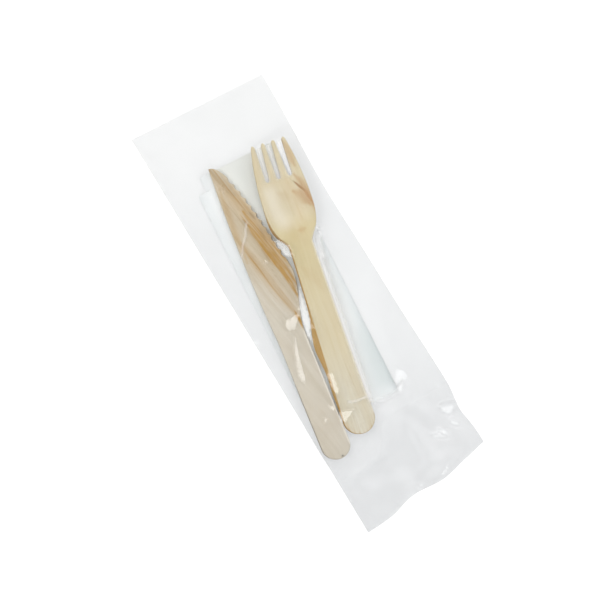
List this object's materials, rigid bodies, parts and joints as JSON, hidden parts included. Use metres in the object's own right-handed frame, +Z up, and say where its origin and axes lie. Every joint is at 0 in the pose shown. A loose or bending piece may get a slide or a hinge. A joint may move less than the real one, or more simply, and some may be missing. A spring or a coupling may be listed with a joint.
{
  "type": "wooden cutlery kit",
  "caption": "Clear flat film sleeve holding a wooden table knife with a scalloped edge, a pressed wooden fork and a folded paper napkin.",
  "frame": {"origin": "middle of the sleeve's box, on the surface that the kit lies on", "axes": "+Y along the kit to the welded end, where the blade and the tines point; +Z up out of the front film; +X across"},
  "size_m": [0.0762, 0.2422, 0.01],
  "materials": {
    "clear_film": "thin clear film, glossy, slightly greyish, with creases",
    "napkin_paper": "soft white tissue paper, matt",
    "knife_wood": "bare pale birch, greyish beige, with brown grain streaks on the blade",
    "fork_wood": "bare pale birch, creamy yellow, fine straight grain"
  },
  "bodies": {
    "root": {"film_sleeve": "clear_film", "napkin": "napkin_paper", "knife": "knife_wood", "fork": "fork_wood"}
  },
  "joints": []
}
